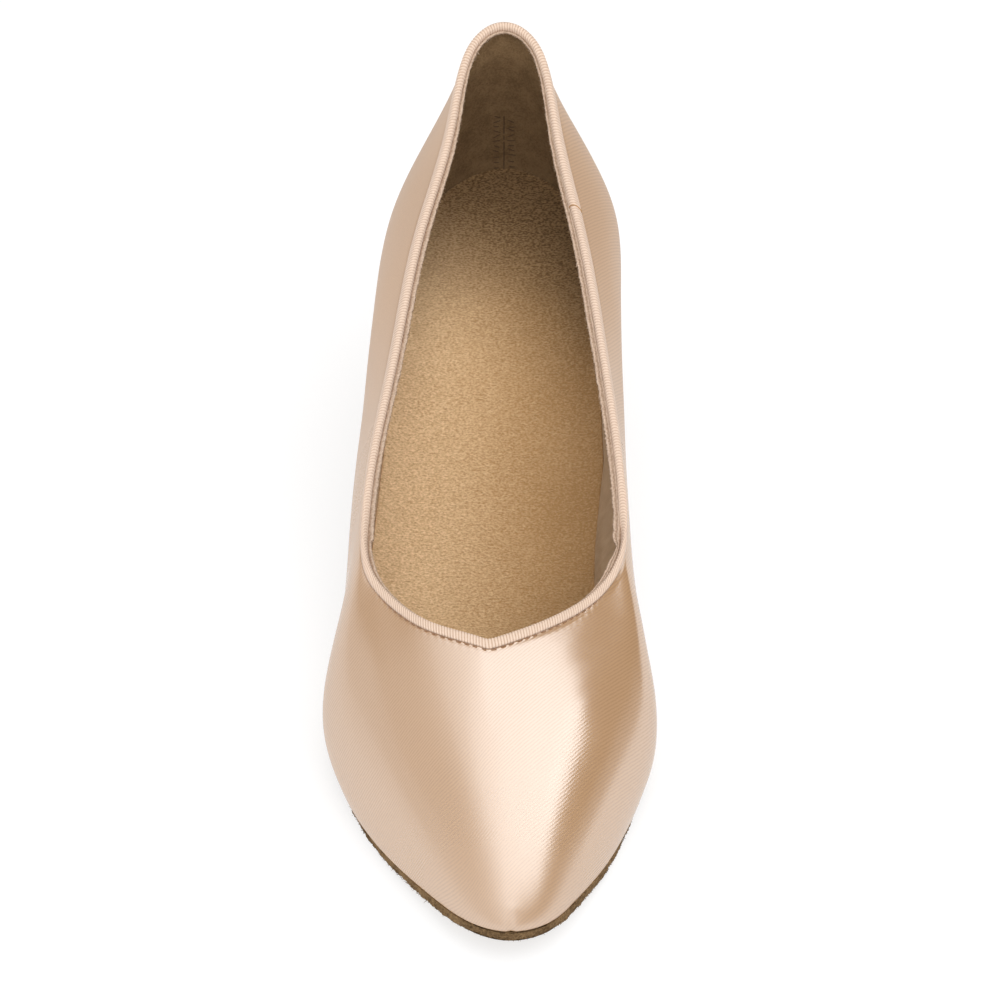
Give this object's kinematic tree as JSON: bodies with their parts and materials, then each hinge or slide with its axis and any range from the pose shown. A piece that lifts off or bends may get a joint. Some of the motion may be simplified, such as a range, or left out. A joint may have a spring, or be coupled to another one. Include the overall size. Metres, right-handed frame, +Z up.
{
  "type": "ballroom dance shoe",
  "caption": "Ladies' satin court shoe for ballroom dancing, right foot, with a ribbon-bound collar, V throat, suede sole and covered flared heel.",
  "frame": {"origin": "on the floor under the middle of the shoe's bounding box", "axes": "+Z up; +Y towards the heel, so the toe points to -Y; +X towards the inner (medial) side of the right foot"},
  "size_m": [0.0798, 0.2198, 0.1053],
  "materials": {
    "satin": "champagne satin with a soft sheen",
    "ribbon": "ribbed grosgrain ribbon",
    "sock": "tan suede",
    "sole_suede": "brushed brown suede",
    "heel_satin": "champagne satin over a moulded block",
    "tread": "matt dark brown"
  },
  "bodies": {
    "root": {"upper": "satin", "topline_binding": "ribbon", "insole": "sock", "outsole": "sole_suede", "heel": "heel_satin", "top_piece": "tread"}
  },
  "joints": []
}
